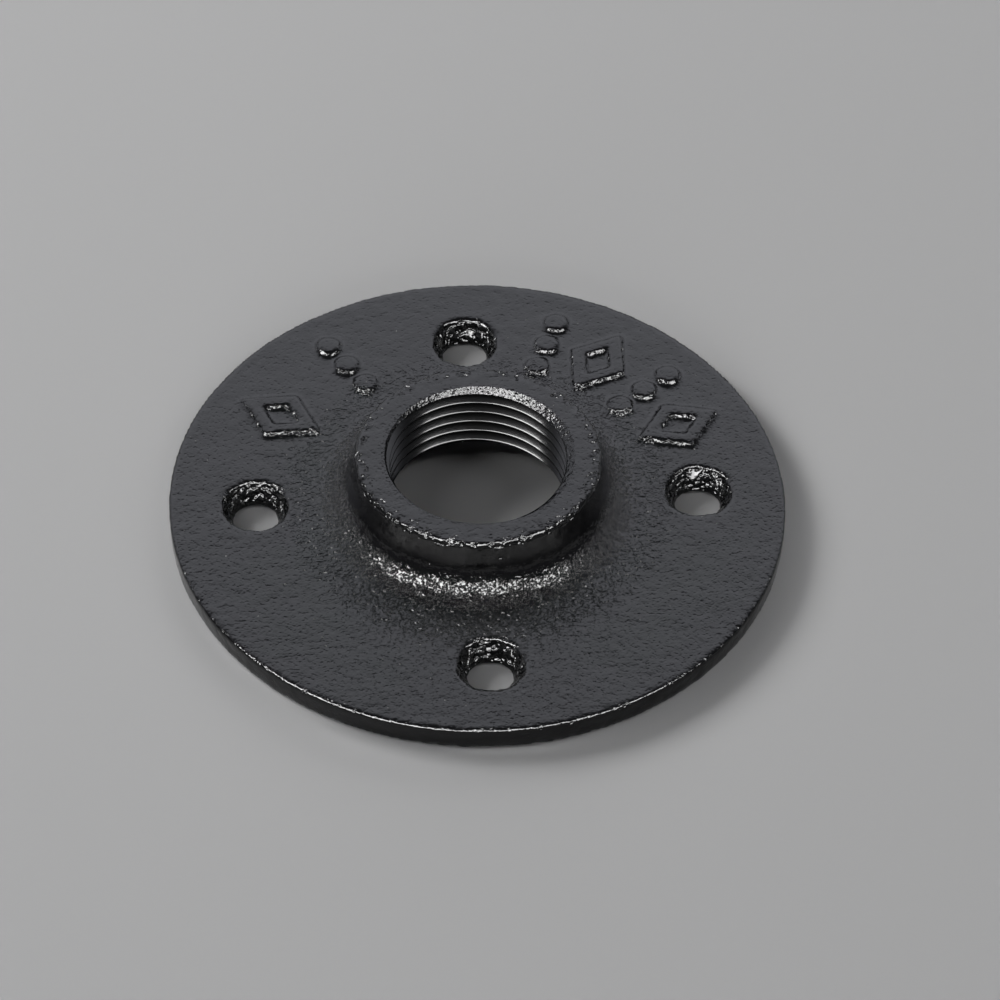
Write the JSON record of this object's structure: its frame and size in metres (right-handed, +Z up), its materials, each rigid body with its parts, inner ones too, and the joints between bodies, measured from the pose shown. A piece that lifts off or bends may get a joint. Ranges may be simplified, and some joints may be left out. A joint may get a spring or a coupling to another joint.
{
  "type": "threaded pipe floor flange",
  "caption": "Round cast-iron floor flange with a raised, internally threaded pipe hub and a ring of countersunk-style bolt holes, in black enamel.",
  "frame": {"origin": "centre of the underside, on the axis of the bore", "axes": "+Z up the bore, out of the hub's mouth; +X and +Y each through a bolt hole"},
  "size_m": [0.085, 0.085, 0.0123],
  "materials": {
    "black_enamel": "semi-gloss black enamel over the rough skin of a sand casting"
  },
  "bodies": {
    "root": {"floor_flange": "black_enamel"}
  },
  "joints": []
}
